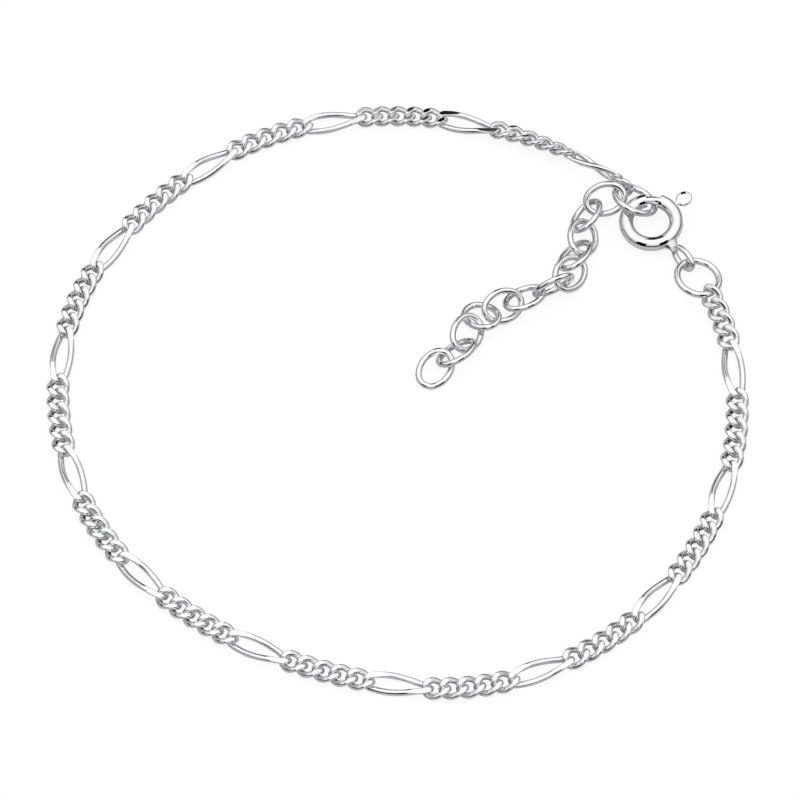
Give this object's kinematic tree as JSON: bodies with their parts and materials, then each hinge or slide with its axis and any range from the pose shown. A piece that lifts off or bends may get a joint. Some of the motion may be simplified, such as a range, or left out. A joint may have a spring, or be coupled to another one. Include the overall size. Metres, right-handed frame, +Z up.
{
  "type": "chain bracelet",
  "caption": "Flat figaro chain bracelet, closed in a loop by a spring ring clasp, with a chain of oval extension links.",
  "frame": {"origin": "on the table, under the middle of the bracelet's outline", "axes": "+Z up, out of the table; +Y from the viewer to the far side; +X to the clasp's side"},
  "size_m": [0.0624, 0.0618, 0.0033],
  "materials": {
    "polished_silver": "polished sterling silver"
  },
  "bodies": {
    "bracelet": {"chain_clasp_half": "polished_silver", "chain_extender_half": "polished_silver", "jump_ring_clasp": "polished_silver", "jump_ring_extender": "polished_silver", "extender_link_01": "polished_silver", "extender_link_02": "polished_silver", "extender_link_03": "polished_silver", "extender_link_04": "polished_silver", "extender_link_05": "polished_silver", "extender_link_06": "polished_silver", "extender_link_07": "polished_silver", "extender_link_08": "polished_silver", "extender_link_09": "polished_silver", "extender_link_10": "polished_silver", "extender_link_11": "polished_silver", "extender_link_12": "polished_silver", "clasp_tube": "polished_silver"},
    "bolt": {"clasp_bolt": "polished_silver"}
  },
  "joints": [
    {"name": "bolt_slide", "type": "hinge", "parent": "bracelet", "child": "bolt", "pos_m": [0.0231, 0.01774, 0.0011], "axis": [0.046, 0.0902, -0.9949], "range_deg": [0, 38], "stiffness_Nm_per_rad": 0.000002, "springref_deg": -17.19}
  ]
}
